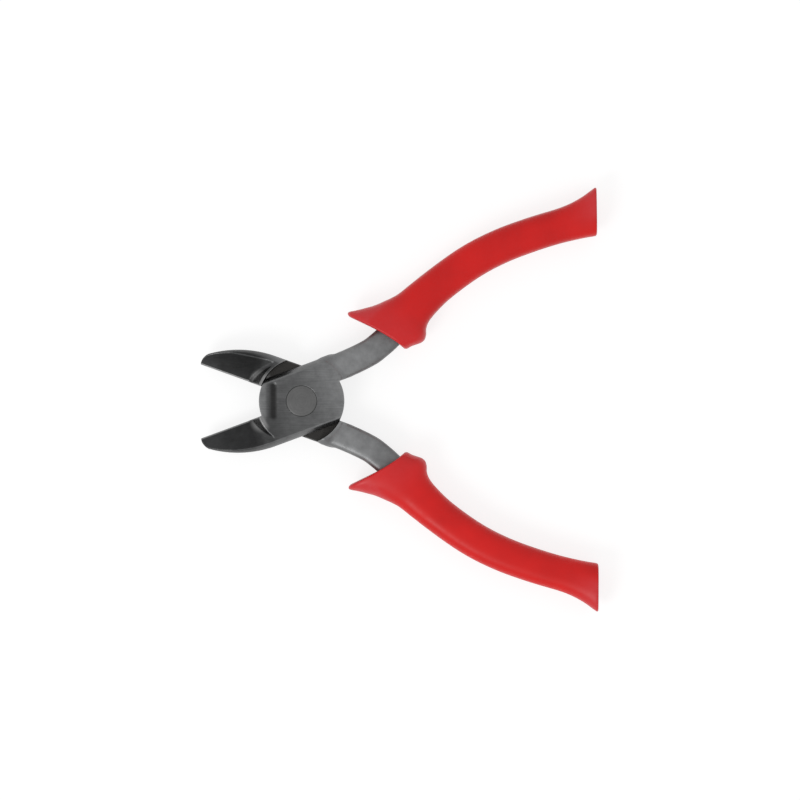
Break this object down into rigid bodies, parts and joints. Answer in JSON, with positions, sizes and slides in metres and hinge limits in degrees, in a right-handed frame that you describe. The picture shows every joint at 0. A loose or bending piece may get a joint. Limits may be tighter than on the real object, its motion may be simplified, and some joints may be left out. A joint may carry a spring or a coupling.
{
  "type": "diagonal cutting pliers",
  "caption": "Diagonal cutting pliers with a round lap joint, hollow-ground straight-edged jaws and thick red sleeves with pointed guards.",
  "frame": {"origin": "on the rivet's axis, in the plane of the head's ground underside", "axes": "+X from the rivet along the tool towards the handles, +Z along the rivet out of the head's upper face, +Y towards the handle of the lever whose lap is on top"},
  "size_m": [0.1398, 0.1492, 0.0153],
  "materials": {
    "lever_steel": "satin",
    "rivet_steel": "satin",
    "sleeve_plastic": "semi-gloss"
  },
  "bodies": {
    "upper_half": {"upper_lever": "lever_steel", "upper_sleeve": "sleeve_plastic", "rivet": "rivet_steel"},
    "lower_half": {"lower_lever": "lever_steel", "lower_sleeve": "sleeve_plastic"}
  },
  "joints": [
    {"name": "jaw_pivot", "type": "hinge", "parent": "upper_half", "child": "lower_half", "pos_m": [0, 0, 0], "axis": [0, 0, 1], "range_deg": [-36, 40]}
  ]
}
